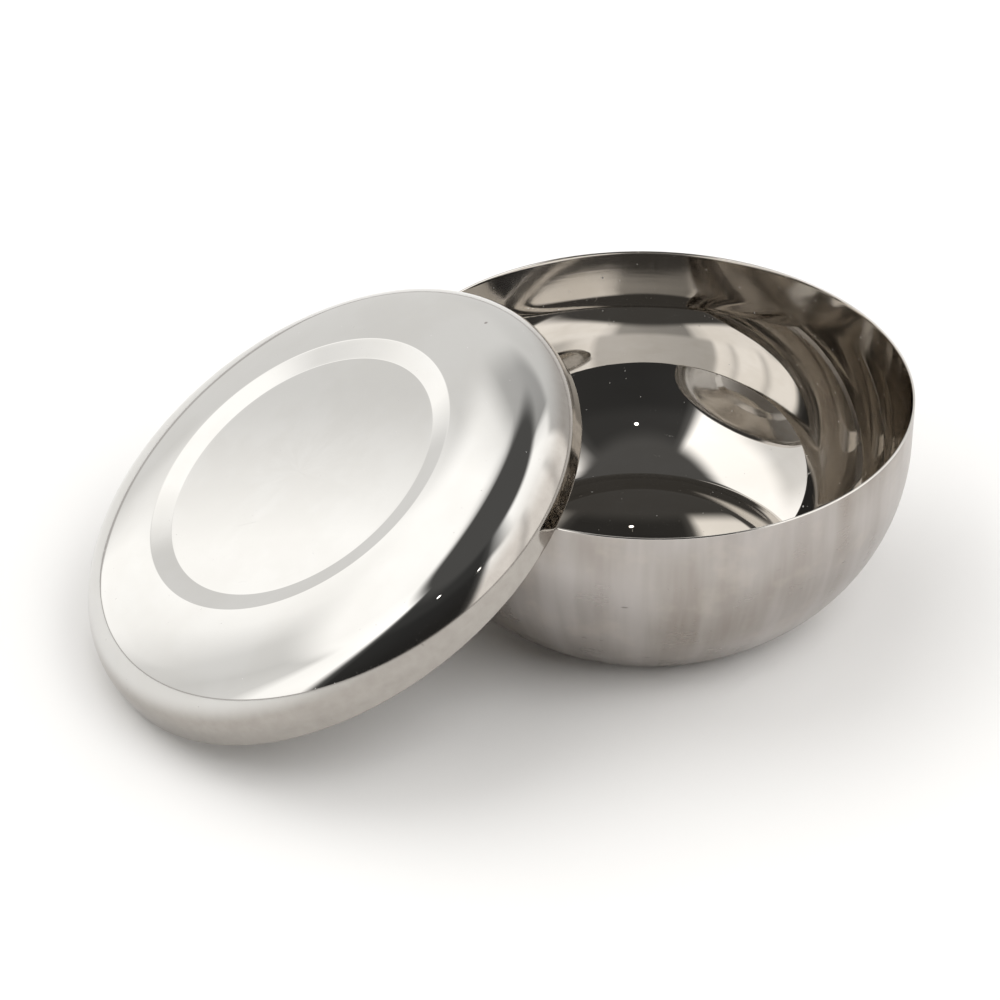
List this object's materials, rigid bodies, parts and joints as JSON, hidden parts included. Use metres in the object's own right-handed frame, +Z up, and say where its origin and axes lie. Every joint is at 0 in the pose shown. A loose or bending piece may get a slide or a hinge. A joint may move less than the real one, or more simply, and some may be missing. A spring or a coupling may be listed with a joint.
{
  "type": "shaving bowl",
  "caption": "Pressed stainless steel shaving bowl with a separate domed lid that leans against its rim; the bowl holds lather and stands flat.",
  "frame": {"origin": "centre of the bowl's foot, on the table", "axes": "+Z up along the bowl's axis; the lid leans towards -X, so X is the long way of the resting pair"},
  "size_m": [0.1828, 0.118, 0.0672],
  "materials": {
    "bowl_steel": "satin outside, polished inside",
    "lid_steel": "polished"
  },
  "bodies": {
    "bowl": {"bowl": "bowl_steel"},
    "lid": {"lid": "lid_steel"}
  },
  "joints": [
    {"name": "lid_lift", "type": "slide", "parent": "bowl", "child": "lid", "axis": [0, 0, 1], "range_m": [0, 0.12]}
  ]
}
